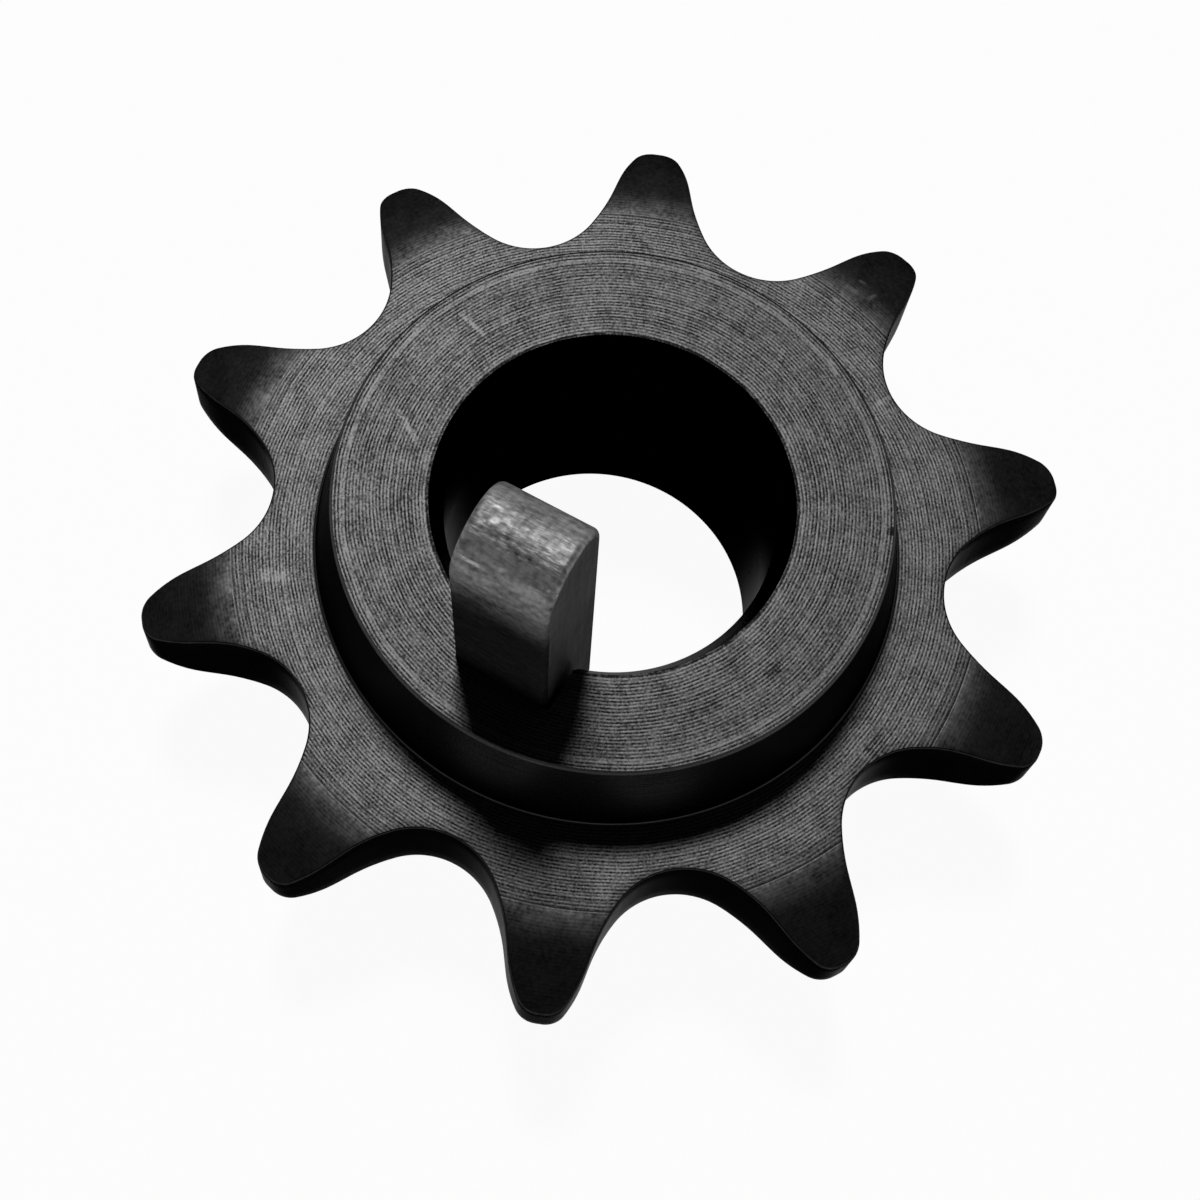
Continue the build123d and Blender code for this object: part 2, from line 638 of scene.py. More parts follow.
class Quads:
    """Quads laid between rows of points, each with its kind of surface."""

    KIND = "skin"

    def __init__(self) -> None:
        """Start with no faces."""
        self.sheet = bmesh.new()
        self.kind = self.sheet.faces.layers.int.new(self.KIND)

    def strip(self, rows: Iterable[Sequence[Vector]], kind: int) -> None:
        """Join rows of equal length, two by two.

        Args:
            rows: The rows, in an order that puts the metal behind the faces.
            kind: The kind of surface.
        """
        laid = [[self.sheet.verts.new(point * MM) for point in row] for row in rows]
        for lower, upper in zip(laid, laid[1:]):
            for index in range(len(lower) - 1):
                quad = (lower[index], upper[index], upper[index + 1], lower[index + 1])
                self.sheet.faces.new(quad)[self.kind] = int(kind)

    def mesh(self, name: str, weld: float = 1e-4) -> bpy.types.Mesh:
        """Weld the rows together and return them as a mesh.

        Args:
            name: The mesh's name.
            weld: Distance within which points are one, in millimetres.

        Returns:
            The mesh.
        """
        bmesh.ops.remove_doubles(self.sheet, verts=self.sheet.verts, dist=weld * MM)
        mesh = bpy.data.meshes.new(name)
        self.sheet.to_mesh(mesh)
        self.sheet.free()
        return mesh


@dataclass
class Sprocket:
    """The sprocket: a toothed plate with a bevel on both faces, and a hub on both sides.

    The smallest piece that repeats is half a tooth and half a gap on one side of the mid
    plane. Its points are worked out here and a node tree mirrors and repeats it.

    Attributes:
        teeth: Number of teeth.
        chain_pitch: Distance between two chain pins.
        roller_diameter: The chain's rollers.
        seat_clearance: Play between a roller and its seat.
        seat_half_span: Angle of half the seat, in degrees.
        working_radius: Radius of the curve above the seat.
        working_span: Angle of that curve, in degrees.
        flank_length: Straight piece above that curve.
        tooth_rise: Height of the tips above the pitch circle.
        tip_land: Width of the tip before its corners are rounded.
        tip_fillet: Rounding of the tip's corners.
        tooth_phase: Turn of the first gap from +X, in degrees.
        plate_thickness: Thickness of the plate inside the bevel.
        bevel_depth: Width of the bevel, from the tips inwards.
        bevel_lead: Slope at the bevel's start, in degrees.
        bevel_radius: Radius of the bevel's arc.
        line_width: Width of the tool line where the bevel starts.
        line_depth: Depth of that line.
        edge_break: Rounding of the teeth's edges.
        hub_length: Length over both hubs.
        hub_base_diameter: Diameter of the hub at the plate.
        hub_draft: Slope of the hub's wall, in degrees.
        hub_chamfer: Chamfer round the hub's face.
        hub_root_fillet: Fillet between hub and plate.
        bore_diameter: The bore.
        bore_chamfer: Chamfer at the bore's mouths.
        bore_lead: Width of the steep lead that opens the upper mouth further.
        bore_lead_angle: Slope of that lead from the axis, in degrees.
        keyway_floor: Distance of the keyway's floor from the axis.
        keyway_width: Width of the keyway.
        keyway_corner: Rounding along the keyway's floor.
        inner_break: Rounding of the hub's small edges.
        columns: Columns across the tip's land.
        cone_sides: Number of sides of the lead's cone.
        overcut: How far a cutting body stands out past the metal.
        seam_weld: Distance within which points on the seams between the cells are one.
        finishes: The finish of each kind of surface.
    """

    teeth: int = 10
    chain_pitch: float = 12.7
    roller_diameter: float = 7.77
    seat_clearance: float = 0.015
    seat_half_span: float = 42.0
    working_radius: float = 8.5
    working_span: float = 16.5
    flank_length: float = 0.9
    tooth_rise: float = 2.57
    tip_land: float = 1.6
    tip_fillet: float = 1.15
    tooth_phase: float = 3.5
    plate_thickness: float = 5.3
    bevel_depth: float = 4.7
    bevel_lead: float = 4.0
    bevel_radius: float = 11.0
    line_width: float = 0.11
    line_depth: float = 0.012
    edge_break: float = 0.09
    hub_length: float = 15.875
    hub_base_diameter: float = 28.5
    hub_draft: float = 10.0
    hub_chamfer: float = 0.12
    hub_root_fillet: float = 0.2
    bore_diameter: float = 15.875
    bore_chamfer: float = 0.45
    bore_lead: float = 0.73
    bore_lead_angle: float = 22.0
    keyway_floor: float = 10.5675
    keyway_width: float = 5.0271
    keyway_corner: float = 0.25
    inner_break: float = 0.05
    columns: int = 8
    cone_sides: int = 360
    overcut: float = 1.0
    seam_weld: float = 1e-3
    finishes: dict[Skin, Finish] = field(default_factory=dict)

    @property
    def mid(self) -> float:
        """Height of the mid plane."""
        return self.hub_length / 2

    @property
    def pitch_radius(self) -> float:
        """Radius of the circle that the chain's pins lie on."""
        return self.chain_pitch / (2 * sin(pi / self.teeth))

    @property
    def tip_radius(self) -> float:
        """Radius over the teeth."""
        return self.pitch_radius + self.tooth_rise

    @property
    def bevel_start(self) -> float:
        """Radius where the bevel leaves the flat face."""
        return self.tip_radius - self.bevel_depth

    def outline(self) -> Trail:
        """Return the trail from the middle of a gap to the middle of a tooth."""
        seat_radius = self.roller_diameter / 2 + self.seat_clearance
        pen = Pen(Vector((self.pitch_radius - seat_radius, 0.0)), pi / 2)
        pen.arc(seat_radius, -radians(self.seat_half_span))
        pen.arc(self.working_radius, -radians(self.working_span))
        pen.line(self.flank_length, steps=3)
        start, heading = pen.trail[-1]
        land_angle = pi / self.teeth - asin(self.tip_land / 2 / self.tip_radius)
        corner = Vector((cos(land_angle), sin(land_angle))) * self.tip_radius
        chord = corner - start
        topping = chord.length_squared / (2 * chord.dot(Pen.left(heading)))
        centre = start + Pen.left(heading) * topping
        fillet = self.meet(centre, topping - self.tip_fillet, self.tip_radius - self.tip_fillet)
        contact = atan2(*reversed(fillet - centre)) + pi / 2
        pen.arc(topping, (contact - heading) % (2 * pi))
        land = atan2(fillet.y, fillet.x)
        pen.arc(self.tip_fillet, (land + pi / 2 - contact) % (2 * pi))
        pen.arc(self.tip_radius, pi / self.teeth - land, self.columns)
        return pen.trail

    @staticmethod
    def meet(centre: Vector, reach: float, radius: float) -> Vector:
        """Find where a circle meets one round the origin.

        Args:
            centre: Centre of the first circle.
            reach: Radius of the first circle.
            radius: Radius of the circle round the origin.

        Returns:
            The crossing that lies to the right of the way from the origin to the first centre.
        """
        distance = centre.length
        along = (distance ** 2 + radius ** 2 - reach ** 2) / (2 * distance)
        across = sqrt(radius ** 2 - along ** 2)
        ahead = centre / distance
        return ahead * along + Vector((ahead.y, -ahead.x)) * across

    def face_height(self, radius: float) -> float:
        """Return the height of the plate's upper face at a radius, tool line and bevel included."""
        height = self.plate_thickness / 2
        if radius > self.bevel_start:
            lead = radians(self.bevel_lead)
            centre_radius = self.bevel_start - self.bevel_radius * sin(lead)
            centre_height = height - self.bevel_radius * cos(lead)
            height = centre_height + sqrt(self.bevel_radius ** 2 - (radius - centre_radius) ** 2)
        away = abs(radius - self.bevel_start) / (self.line_width / 2)
        return self.mid + height - self.line_depth * max(0.0, 1.0 - away)

    def cut_trail(self, trail: Trail, radius: float) -> int:
        """Add a stop where the trail's broken edge crosses a radius.

        Args:
            trail: The outline's trail, which gets the stop.
            radius: The radius that the inner side of the edge break has there.

        Returns:
            The new stop's number.
        """
        def inset(share: float, index: int) -> tuple[Vector, float, float]:
            """Return the point and heading at a share of a piece, and its edge break's radius."""
            point = trail[index][0].lerp(trail[index + 1][0], share)
            heading = trail[index][1] * (1 - share) + trail[index + 1][1] * share
            return point, heading, (point + Pen.left(heading) * self.edge_break).length

        halvings = 40
        index = next(k for k in range(len(trail) - 1) if inset(1.0, k)[2] > radius)
        low, high = 0.0, 1.0
        for _ in range(halvings):
            middle = (low + high) / 2
            if inset(middle, index)[2] < radius:
                low = middle
            else:
                high = middle
        point, heading, _ = inset(high, index)
        trail.insert(index + 1, (point, heading))
        return index + 1

    def cell(self) -> bpy.types.Mesh:
        """Return the piece that repeats: half a gap and half a tooth, from the mid plane up."""
        quads = Quads()
        trail = self.outline()
        first = self.cut_trail(trail, self.bevel_start - self.line_width / 2)
        self.cut_trail(trail, self.bevel_start)
        self.cut_trail(trail, self.bevel_start + self.line_width / 2)
        inner = [point + Pen.left(heading) * self.edge_break for point, heading in trail]
        last = len(trail) - 1 - self.columns
        half = pi / self.teeth

        def spread(index: int) -> list[float]:
            """Return even angles from a stop of the broken edge to the tooth's middle."""
            start = atan2(inner[index].y, inner[index].x)
            return [start + (half - start) * step / self.columns
                    for step in range(self.columns + 1)]

        rim = [(point.length, atan2(point.y, point.x)) for point in inner[:first]]
        rim += [(inner[first].length, angle) for angle in spread(first)]
        angles = [angle for _, angle in rim]

        meridian, kinds = self.meridian()
        rows = [[polar(point.x, angle, point.y) for angle in angles] for point in meridian]
        for index, kind in enumerate(kinds):
            quads.strip(rows[index:index + 2], kind)

        root, top = meridian[-1].x, self.mid + self.plate_thickness / 2
        steps = 5
        quads.strip([[polar(root + (radius - root) * step / steps, angle,
                            top if step < steps else self.face_height(radius))
                      for radius, angle in rim] for step in range(steps + 1)], Skin.PLATE_FACE)

        bevel = [[polar(inner[index].length, angle, self.face_height(inner[index].length))
                  for angle in spread(index)] for index in range(first, last + 1)]
        line_rows = 3
        quads.strip(bevel[:line_rows], Skin.TOOTH_SIDE)
        quads.strip(bevel[line_rows - 1:], Skin.BEVEL)
        self.side(quads, trail)
        return quads.mesh("sprocket_cell")

    def side(self, quads: Quads, trail: Trail) -> None:
        """Add the broken edge and the side of the tooth and gap.

        Args:
            quads: The faces so far.
            trail: The outline's trail.
        """
        rows = []
        steps = 4
        for step in range(steps + 1):
            angle = pi / 2 * step / steps
            points = [point + Pen.left(heading) * (self.edge_break * (1 - sin(angle)))
                      for point, heading in trail]
            drop = self.edge_break * (1 - cos(angle))
            rows.append([Vector((*point, self.face_height(point.length) - drop))
                         for point in points])
        quads.strip(rows, Skin.TOOTH_SIDE)
        edge = rows[-1]
        quads.strip([edge, [Vector((*point.xy, (point.z + self.mid) / 2)) for point in edge],
                     [Vector((*point.xy, self.mid)) for point in edge]], Skin.TOOTH_SIDE)

    def meridian(self) -> tuple[list[Vector], list[Skin]]:
        """Return the run from the bore's middle to the plate, and the kind of each piece."""
        top = self.hub_length
        bore = self.bore_diameter / 2
        base = self.hub_base_diameter / 2
        plate = self.mid + self.plate_thickness / 2
        end = base - (top - plate) * tan(radians(self.hub_draft))
        wall_slope = tan(radians(self.hub_draft))
        shoulder = end + self.hub_chamfer * wall_slope
        runs = (
            (Skin.BORE, (bore, top - self.bore_chamfer, self.inner_break)),
            (Skin.CHAMFER, (bore + self.bore_chamfer, top, self.inner_break)),
            (Skin.HUB_FACE, (end - self.hub_chamfer, top, self.inner_break)),
            (Skin.CHAMFER, (shoulder, top - self.hub_chamfer, self.inner_break)),
            (Skin.HUB_WALL, (base, plate, self.hub_root_fillet)),
        )
        corners = [(bore, self.mid, 0.0), *(corner for _, corner in runs),
                   (base + 2 * self.hub_root_fillet, plate, 0.0)]
        steps = 6
        return rounded(corners, steps)[:-1], [kind for kind, _ in runs for _ in range(steps + 1)]

    def pattern(self) -> bpy.types.NodeTree:
        """Return the node tree that mirrors the cell, repeats it round the axis and dresses it."""
        tree = bpy.data.node_groups.new("sprocket_pattern", "GeometryNodeTree")
        sockets = [("Geometry", "NodeSocketGeometry"), ("Teeth", "NodeSocketInt"),
                   ("Phase", "NodeSocketFloat"), ("Length", "NodeSocketFloat"),
                   ("Weld", "NodeSocketFloat")]
        sockets += [(skin.name, "NodeSocketMaterial") for skin in Skin]
        for name, kind in sockets:
            tree.interface.new_socket(name, in_out="INPUT", socket_type=kind)
        tree.interface.new_socket("Geometry", in_out="OUTPUT", socket_type="NodeSocketGeometry")
        sheet = NodeSheet(tree)
        given = sheet.add("NodeGroupInput").outputs

        def mirrored(shape: Socket, scale: Triple, shift: object) -> Socket:
            """Join a shape to its mirror image, given by a scale and a shift."""
            feeds = {"Geometry": shape, "Translation": shift, "Scale": scale}
            turned = sheet.add("GeometryNodeTransform", feeds)
            flipped = sheet.add("GeometryNodeFlipFaces", {"Mesh": turned.outputs[0]})
            joined = sheet.add("GeometryNodeJoinGeometry")
            tree.links.new(flipped.outputs[0], joined.inputs[0])
            tree.links.new(shape, joined.inputs[0])
            return joined.outputs[0]

        tooth = mirrored(given["Geometry"], (1.0, -1.0, 1.0), (0.0, 0.0, 0.0))
        lift = sheet.add("ShaderNodeCombineXYZ", {"Z": given["Length"]}).outputs[0]
        tooth = mirrored(tooth, (1.0, 1.0, -1.0), lift)
        points = sheet.add("GeometryNodePoints", {"Count": given["Teeth"]})
        share = sheet.math("DIVIDE", sheet.add("GeometryNodeInputIndex").outputs[0], given["Teeth"])
        angle = sheet.plus(sheet.times(share, 2 * pi), given["Phase"])
        turn = sheet.add("FunctionNodeEulerToRotation", {
            "Euler": sheet.add("ShaderNodeCombineXYZ", {"Z": angle}).outputs[0]})
        ring = sheet.add("GeometryNodeInstanceOnPoints", {
            "Points": points.outputs[0], "Instance": tooth, "Rotation": turn.outputs[0]})
        real = sheet.add("GeometryNodeRealizeInstances", {"Geometry": ring.outputs[0]})
        shape = sheet.add("GeometryNodeMergeByDistance", {
            "Geometry": real.outputs[0], "Distance": given["Weld"]}).outputs[0]
        kind = sheet.add("GeometryNodeInputNamedAttribute", {"Name": Quads.KIND}, data_type="INT")
        for skin in Skin:
            chosen = sheet.add("FunctionNodeCompare", {2: kind.outputs[0], 3: int(skin)},
                               data_type="INT", operation="EQUAL").outputs[0]
            feeds = {"Geometry": shape, "Selection": chosen, "Material": given[skin.name]}
            shape = sheet.add("GeometryNodeSetMaterial", feeds).outputs[0]
        sheet.add("NodeGroupOutput", {"Geometry": shape})
        return tree

    def build(self) -> bpy.types.Object:
        """Return the finished sprocket, with its keyway and the bore's lead cut."""
        blank = new_object("sprocket_blank", self.cell())
        blank.data.materials.append(self.finishes[Skin.HUB_FACE].material())
        modifier = blank.modifiers.new("pattern", "NODES")
        modifier.node_group = self.pattern()
        values = {"Teeth": self.teeth, "Phase": radians(self.tooth_phase),
                  "Length": self.hub_length * MM, "Weld": self.seam_weld * MM}
        values |= {skin.name: self.finishes[skin].material() for skin in Skin}
        set_inputs(modifier, values)
        whole = new_object("sprocket_body", plain_mesh(blank))
        cutters = (self.keyway_cutter(), self.lead_cutter())
        for cutter in cutters:
            cut = whole.modifiers.new(cutter.name, "BOOLEAN")
            cut.operation, cut.object, cut.solver = "DIFFERENCE", cutter, "EXACT"
            cut.material_mode = "TRANSFER"
        mesh = plain_mesh(whole)
        remove(blank, whole, *cutters)
        mesh.name = "sprocket_body"
        shade(mesh)
        return new_object("sprocket_body", mesh)

    def keyway_cutter(self) -> bpy.types.Object:
        """Return the bar that cuts the keyway, with the keyway's near-black finish, which is
        painted shade.
        """
        half, floor, corner = self.keyway_width / 2, self.keyway_floor, self.keyway_corner
        section = [(0.0, -half, 0.0), (floor, -half, corner),
                   (floor, half, corner), (0.0, half, 0.0)]
        rings = [[Vector((*point, height)) for point in rounded(section)]
                 for height in (-self.overcut, self.hub_length + self.overcut)]
        return self.cutter("keyway_cutter", rings, Skin.KEYWAY)

    def lead_cutter(self) -> bpy.types.Object:
        """Return the cone that cuts the lead at the bore's upper mouth, with the bore's painted
        shade.
        """
        slope = tan(radians(self.bore_lead_angle))
        mouth = self.bore_diameter / 2 + self.bore_lead
        top = self.hub_length
        heights = (top - self.bore_lead / slope - self.overcut / 2, top + self.overcut)
        rings = [[polar(mouth + (height - top) * slope, 2 * pi * turn / self.cone_sides, height)
                  for turn in range(self.cone_sides)] for height in heights]
        return self.cutter("lead_cutter", rings, Skin.BORE)

    def cutter(self, name: str, rings: list[list[Vector]], skin: Skin) -> bpy.types.Object:
        """Return a closed body between two rings of points, which cuts with one finish.

        Args:
            name: The body's name.
            rings: Its lower and its upper ring.
            skin: The kind of surface that it leaves.

        Returns:
            The body.
        """
        body = bmesh.new()
        low, high = ([body.verts.new(point * MM) for point in ring] for ring in rings)
        body.faces.new(list(reversed(low)))
        body.faces.new(high)
        for index in range(len(low)):
            after = (index + 1) % len(low)
            body.faces.new((low[index], low[after], high[after], high[index]))
        mesh = bpy.data.meshes.new(name)
        body.to_mesh(mesh)
        body.free()
        mesh.materials.append(self.finishes[skin].material())
        return new_object(name, mesh)


# ------------------------------------------------------------------------ key


class KeySkin(IntEnum):
    """Kinds of surface on the key; each number is the material slot of that kind."""

    ROUND = 0
    FLANK = 1


@dataclass
class Key:
    """The square key with a rounded upper end, which leans in the top of the keyway.

    Attributes:
        size: Width and height of its section.
        length: Its length, rounded end included.
        insertion: Length of the piece that stands in the keyway.
        lean: Its slope, in degrees.
        edge: Rounding of its edges.
        centre: Distance of its middle from the bore's axis.
        mouth: Height of the hub's face, where the keyway opens.
        finishes: The finish of each kind of surface.
    """

    size: float = 4.7625
    length: float = 19.05
    insertion: float = 6.35
    lean: float = 2.0
    edge: float = 0.3
    centre: float = 8.16625
    mouth: float = 15.875
    finishes: dict[KeySkin, Finish] = field(default_factory=dict)

    def trail(self) -> Trail:
        """Return the outline of its side, from the outer side over the end and back."""
        half = self.size / 2
        foot = -self.insertion / 2
        straight = self.length - half
        side_steps, end_steps, corner_steps, foot_steps = 12, 36, 6, 4
        pen = Pen(Vector((half, foot + self.edge)), pi / 2)
        pen.line(straight - self.edge, side_steps)
        pen.arc(half, pi, end_steps)
        pen.line(straight - self.edge, side_steps)
        pen.arc(self.edge, pi / 2, corner_steps)
        pen.line(self.size - 2 * self.edge, foot_steps)
        pen.arc(self.edge, pi / 2, corner_steps)
        return pen.trail

    def build(self) -> bpy.types.Object:
        """Return the finished key."""
        half = self.size / 2
        trail = self.trail()
        steps = 5
        rows = []
        for side in (-1, 1):
            for step in range(steps + 1):
                angle = pi / 2 * (step if side < 0 else steps - step) / steps
                inset, drop = self.edge * (1 - sin(angle)), self.edge * (1 - cos(angle))
                depth = side * (half - drop)
                rows.append([Vector((*(point + Pen.left(heading) * inset), depth)).xzy
                             for point, heading in trail])
        quads = Quads()
        quads.strip(rows, KeySkin.ROUND)
        for row in (rows[0][:-1], rows[-1][:0:-1]):
            cap = quads.sheet.faces.new([quads.sheet.verts.new(point * MM) for point in row])
            cap[quads.kind] = int(KeySkin.FLANK)
        mesh = quads.mesh("key_body")
        place = Matrix.Translation(Vector((self.centre, 0.0, self.mouth - self.insertion / 2)) * MM)
        mesh.transform(place @ Matrix.Rotation(radians(self.lean), 4, "X"))
        for skin in KeySkin:
            mesh.materials.append(self.finishes[skin].material())
        for face, kind in zip(mesh.polygons, mesh.attributes[Quads.KIND].data):
            face.material_index = kind.value
        shade(mesh)
        return new_object("key_body", mesh)


# ---------------------------------------------------------------- scene tools


def new_object(name: str, content: bpy.types.ID) -> bpy.types.Object:
    """Put a mesh, a lamp or a camera in the scene.

    Args:
        name: The object's name.
        content: Its data.

    Returns:
        The object, at the origin.
    """
    made = bpy.data.objects.new(name, content)
    bpy.context.scene.collection.objects.link(made)
    return made


def set_inputs(modifier: bpy.types.Modifier, values: dict[str, object]) -> None:
    """Set a node modifier's inputs.

    Args:
        modifier: The modifier.
        values: Value of each input, by its name.
    """
    for item in modifier.node_group.interface.items_tree:
        if item.item_type == "SOCKET" and item.in_out == "INPUT" and item.name in values:
            modifier[item.identifier] = values[item.name]


def plain_mesh(source: bpy.types.Object) -> bpy.types.Mesh:
    """Return an object's mesh with its modifiers applied."""
    bpy.context.view_layer.update()
    ready = source.evaluated_get(bpy.context.evaluated_depsgraph_get())
    return bpy.data.meshes.new_from_object(ready)


def remove(*spent: bpy.types.Object) -> None:
    """Delete objects and the meshes that they alone use."""
    for item in spent:
        mesh = item.data
        bpy.data.objects.remove(item)
        bpy.data.meshes.remove(mesh)


def shade(mesh: bpy.types.Mesh, crease: float = 25.0) -> None:
    """Shade a mesh smooth, apart from its creases.

    Args:
        mesh: The mesh.
        crease: Angle from which an edge stays sharp, in degrees.
    """
    mesh.shade_smooth()
    mesh.set_sharp_from_angle(angle=radians(crease))


@dataclass
class Studio:
    """The floor, the wall round it, the lamp, the room and the camera.

    Attributes:
        reach: Distance of the wall from the middle, in metres.
        wall_height: Height of the wall, in metres.
        wall_bend: Radius of the bend between floor and wall, in metres.
        floor_drop: Gap between the lower hub face and the floor, in metres.
        sides: Number of sides of the floor.
        bend_steps: Number of pieces in the bend.
        paper_white: How much of the light that falls on floor and wall they give back.
        paper_share: Share of their own white that they show to the camera and in reflections.
        lamp_turn: Direction of the lamp round the Z axis, in degrees from +X.
        lamp_slope: Slope of the lamp's direction from the Z axis, in degrees.
        lamp_distance: Distance of the lamp, in metres.
        lamp_size: Width of the lamp, in metres.
        lamp_power: Power of the lamp, in watts.
        room_grey: Level of the room's even light.
        camera_place: Place of the camera, in metres.
        camera_turn: Its turn about X, Y and Z, in degrees.
        camera_lens: Its focal length, in millimetres, on a sensor of sensor_width.
        camera_shift: Shift of the lens, as shares of the picture's width.
        sensor_width: Width of the sensor, in millimetres.
        clip: Nearest and farthest distance that the camera sees, in metres.
    """

    reach: float = 2.4
    wall_height: float = 1.1
    wall_bend: float = 0.5
    floor_drop: float = 0.00002
    sides: int = 96
    bend_steps: int = 8
    paper_white: float = 0.9
    paper_share: float = 0.95
    lamp_turn: float = 215.0
    lamp_slope: float = 24.5
    lamp_distance: float = 0.9
    lamp_size: float = 0.17
    lamp_power: float = 5.4
    room_grey: float = 0.03
    camera_place: Triple = (0.039507, 0.014239, 0.115109)
    camera_turn: Triple = (22.748, 0.460, 120.443)
    camera_lens: float = 68.475
    camera_shift: tuple[float, float] = (0.14099, -0.08873)
    sensor_width: float = 36.0
    clip: tuple[float, float] = (0.01, 20.0)

    def paper(self) -> bpy.types.Material:
        """Return the white paper, which takes a soft shadow and is clear from behind."""
        material, sheet = blank_material("white_paper")
        path = sheet.add("ShaderNodeLightPath").outputs
        seen = sheet.math("MAXIMUM", path["Is Camera Ray"], path["Is Glossy Ray"])
        seen = sheet.math("MAXIMUM", seen, path["Is Transmission Ray"])
        lit = sheet.add("ShaderNodeBsdfDiffuse", {"Color": grey(self.paper_white)})
        glow = sheet.add("ShaderNodeEmission", {"Color": grey(1.0), "Strength": 1.0})
        shown = sheet.times(seen, self.paper_share)
        feeds = {0: shown, 1: lit.outputs[0], 2: glow.outputs[0]}
        front = sheet.add("ShaderNodeMixShader", feeds).outputs[0]
        clear = sheet.add("ShaderNodeBsdfTransparent").outputs[0]
        behind = sheet.add("ShaderNodeNewGeometry").outputs["Backfacing"]
        both = sheet.add("ShaderNodeMixShader", {0: behind, 1: front, 2: clear})
        sheet.add("ShaderNodeOutputMaterial", {"Surface": both.outputs[0]})
        return material

    def backdrop(self) -> bpy.types.Object:
        """Return the round floor, just below the lower hub face, and the wall round it."""
        rings = [(self.reach - self.wall_bend, -self.floor_drop)]
        for step in range(1, self.bend_steps + 1):
            angle = pi / 2 * step / self.bend_steps
            rings.append((self.reach - self.wall_bend * (1 - sin(angle)),
                          self.wall_bend * (1 - cos(angle)) - self.floor_drop))
        rings.append((self.reach, self.wall_height))
        points = [polar(radius, 2 * pi * turn / self.sides, height)
                  for radius, height in rings for turn in range(self.sides)]
        faces = [tuple(range(self.sides))]
        for low in range(0, (len(rings) - 1) * self.sides, self.sides):
            for turn in range(self.sides):
                after, high = (turn + 1) % self.sides, low + self.sides
                faces.append((high + turn, high + after, low + after, low + turn))
        mesh = bpy.data.meshes.new("backdrop")
        mesh.from_pydata(points, [], faces)
        mesh.materials.append(self.paper())
        mesh.shade_smooth()
        return new_object("backdrop", mesh)

    def lamp(self) -> bpy.types.Object:
        """Add the round soft lamp that faces the sprocket."""
        light = bpy.data.lights.new("soft_lamp", "AREA")
        light.shape, light.size, light.energy = "DISK", self.lamp_size, self.lamp_power
        slope, turn = radians(self.lamp_slope), radians(self.lamp_turn)
        towards = Vector((sin(slope) * cos(turn), sin(slope) * sin(turn), cos(slope)))
        made = new_object("soft_lamp", light)
        made.location = towards * self.lamp_distance
        made.rotation_euler = towards.to_track_quat("Z", "Y").to_euler()
        made.visible_camera = False
        return made

    def camera(self) -> bpy.types.Object:
        """Add the camera, above the sprocket and a little to the key's side."""
        data = bpy.data.cameras.new("camera")
        data.sensor_width, data.lens = self.sensor_width, self.camera_lens
        data.shift_x, data.shift_y = self.camera_shift
        data.clip_start, data.clip_end = self.clip
        made = new_object("camera", data)
        made.location = self.camera_place
        made.rotation_euler = [radians(angle) for angle in self.camera_turn]
        bpy.context.scene.camera = made
        return made

    def room(self) -> None:
        """Give the room above an even grey."""
        world = bpy.data.worlds.new("room")
        world.use_nodes = True
        background = world.node_tree.nodes["Background"]
        background.inputs["Color"].default_value = grey(self.room_grey)
        bpy.context.scene.world = world

    def build(self) -> None:
        """Set up the backdrop, lamp, room and camera."""
        bpy.context.scene.view_settings.view_transform = "Standard"
        self.backdrop()
        self.lamp()
        self.room()
        self.camera()


def on_face(height: float, *marks: tuple[float, ...]) -> tuple[Scratch, ...]:
    """Lay scratches and rubbed spots on a level face.

    Args:
        height: The face's height, in millimetres.
        *marks: X and Y of the start, X and Y of the end, width and tone of each.

    Returns:
        The scratches.
    """
    return tuple(Scratch((*mark[0:2], height), (*mark[2:4], height), *mark[4:]) for mark in marks)


# Scratches and rubbed spots: on the hub's face, the plate, the bevel and the key's rounded end
HUB_SCRATCHES = on_face(
    15.875,
    (1.0, -11.3, 2.2, -9.2, 0.2, 0.6),
    (-4.9, -11.2, -4.4, -9.2, 0.16, 0.6),
    (-12.85, -3.0, -13.0, -1.1, 0.25, 0.6),
    (-11.8, 5.4, -11.1, 6.3, 0.14, 0.6),
    (3.2, 10.6, 4.4, 10.2, 0.5, -0.25),
    (-5.0, 12.3, -5.5, 12.1, 0.45, -0.8),
)

PLATE_SCRATCHES = on_face(
    10.5875,
    (9.4, -13.3, 10.1, -12.9, 1.2, 0.35),
    (-15.2, -6.6, -15.8, -6.2, 1.1, -0.25),
    (-5.2, -16.2, -4.1, -17.0, 0.18, 0.6),
    (-13.2, 8.2, -14.6, 8.9, 0.2, 0.6),
    (-17.7, 3.6, -17.5, 4.3, 0.16, 0.6),
    (2.0, 16.3, 3.4, 16.0, 0.8, -0.25),
)

BEVEL_SCRATCHES = (
    Scratch((-18.7, 3.8, 10.52), (-18.6, 4.7, 10.51), width=0.18),
    Scratch((-18.5, 5.2, 10.5), (-19.1, 5.5, 10.39), width=0.16),
    Scratch((-19.4, 4.3, 10.36), (-19.3, 4.9, 10.37), width=0.14),
)

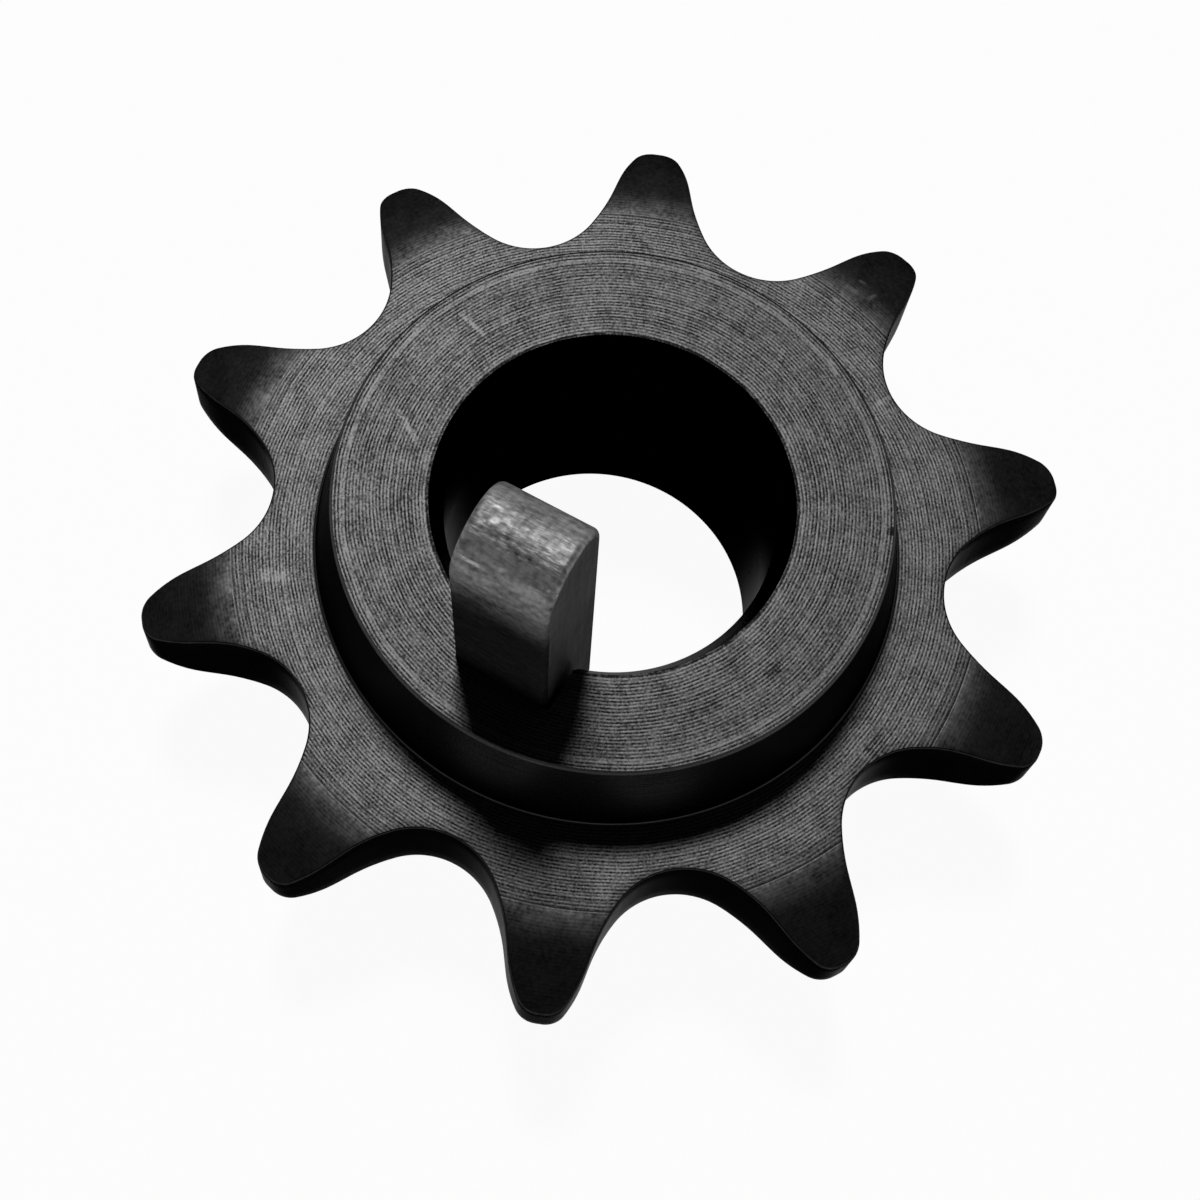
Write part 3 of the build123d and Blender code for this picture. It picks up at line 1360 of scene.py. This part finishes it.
KEY_SCRATCHES = (
    Scratch((10.04, -2.6, 27.6), (10.05, -1.5, 27.65), width=0.13, tone=0.7),
    Scratch((8.85, -2.6, 28.38), (8.04, -1.6, 28.52), width=0.2, tone=0.22),
    Scratch((8.0, -1.8, 28.52), (8.35, -0.4, 28.55), width=0.2, tone=0.15),
    Scratch((7.7, -2.6, 28.43), (7.1, -1.2, 28.28), width=0.24, tone=0.3),
    Scratch((10.0, 1.4, 27.79), (9.75, 1.95, 27.04), width=0.12, tone=0.55),
    Scratch((9.67, 1.3, 28.1), (9.6, 1.95, 27.82), width=0.12, tone=0.55),
    Scratch((9.1, -1.6, 28.37), (8.95, 0.6, 28.47), width=0.25, tone=-0.12),
    Scratch((10.5, -1.9, 26.8), (10.3, 0.2, 27.3), width=0.25, tone=-0.12),
)

# What the two turned faces have in common
FACED = {"roughness": (0.46, 0.54), "pitch": 0.165, "depth": 0.005, "mark_tone": 1.05,
         "speck": 0.12, "speck_tone": 1.7, "cloud": 1.3, "cloud_tone": 0.6}

# Painted shade along the bore's rim, and painted highlights just outside it and near the face's
# outer edge.
HUB_EDGE_HIGHLIGHTS_AND_SHADE = (Ring(8.72, 0.22, -0.9), Ring(8.95, 0.2, 0.3), Ring(12.75, 0.3, 0.35))

SPROCKET_FINISHES = {
    Skin.HUB_FACE: Finish("turned_hub_face", 0.006, 0.082, **FACED, spread=0.4, rings=HUB_EDGE_HIGHLIGHTS_AND_SHADE,
                          scratches=HUB_SCRATCHES),
    Skin.PLATE_FACE: Finish("turned_plate_face", 0.008, 0.092, **FACED, spread=0.35,
                            scratches=PLATE_SCRATCHES),
    # Painted shade: the bevel's tone falls away from 18.8 mm out, darker towards the tips where the
    # bevel slopes from the lamp.
    Skin.BEVEL: Finish("formed_bevel", 0.006, 0.08, roughness=(0.48, 0.58), pitch=0.165,
                       depth=0.001, mark_tone=0.3, speck=0.2, speck_tone=1.2, cloud=1.2,
                       cloud_tone=0.9, fade=(18.8, 20.1), fade_tone=0.72, edge_tint=0.1,
                       scratches=BEVEL_SCRATCHES),
    Skin.TOOTH_SIDE: Finish("cut_tooth_side", 0.006, 0.04, marks=Marks.ALONG_AXIS, pitch=0.25,
                            depth=0.002, mark_tone=0.8, speck=0.3, edge_tint=0.1),
    Skin.HUB_WALL: Finish("turned_hub_wall", 0.008, 0.05, pitch=0.04, depth=0.001, mark_tone=0.4),
    Skin.CHAMFER: Finish("turned_chamfer", 0.02, 0.07, pitch=0.1, depth=0.001),
    # Bore and keyway: near black and without a grazing reflection, painted shade where they lie in
    # shadow.
    Skin.BORE: Finish("bored_wall", 0.0003, 0.001, pitch=0.15, depth=0.001, edge_tint=0.0),
    Skin.KEYWAY: Finish("broached_keyway", 0.001, 0.004, marks=Marks.ALONG_AXIS, pitch=0.2,
                        depth=0.001, edge_tint=0.0),
}

KEY_FINISHES = {
    # Painted shade: the key's tone falls away from its crest down towards the hub face.
    KeySkin.ROUND: Finish("rubbed_key", 0.012, 0.42, roughness=(0.53, 0.66), marks=Marks.ACROSS_KEY,
                          pitch=0.6, depth=0.11, mark_tone=1.3, speck=0.3, speck_tone=0.9,
                          fade=(28.7, 22.8), fade_by=Measure.HEIGHT, fade_tone=0.95,
                          scratches=KEY_SCRATCHES),
    KeySkin.FLANK: Finish("drawn_key_flank", 0.03, 0.22, roughness=(0.45, 0.55),
                          marks=Marks.ALONG_AXIS, pitch=0.25, depth=0.001, mark_tone=0.9,
                          speck=0.4),
}


def main() -> None:
    """Build, dress and place every piece, and log how many faces each has and which CAD part it
    stands for.
    """
    logging.basicConfig(level=logging.INFO, format="%(message)s")
    Studio().build()
    pieces = (
        (Sprocket(finishes=SPROCKET_FINISHES).build(), "sprocket", "black_steel"),
        (Key(finishes=KEY_FINISHES).build(), "key", "key_steel"),
    )
    for piece, node, slot in pieces:
        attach(piece, BODY)
        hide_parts(node)
        log.info("%s: %d faces, stands for %s", piece.name, len(piece.data.polygons), node)


if __name__ == "__main__":
    main()
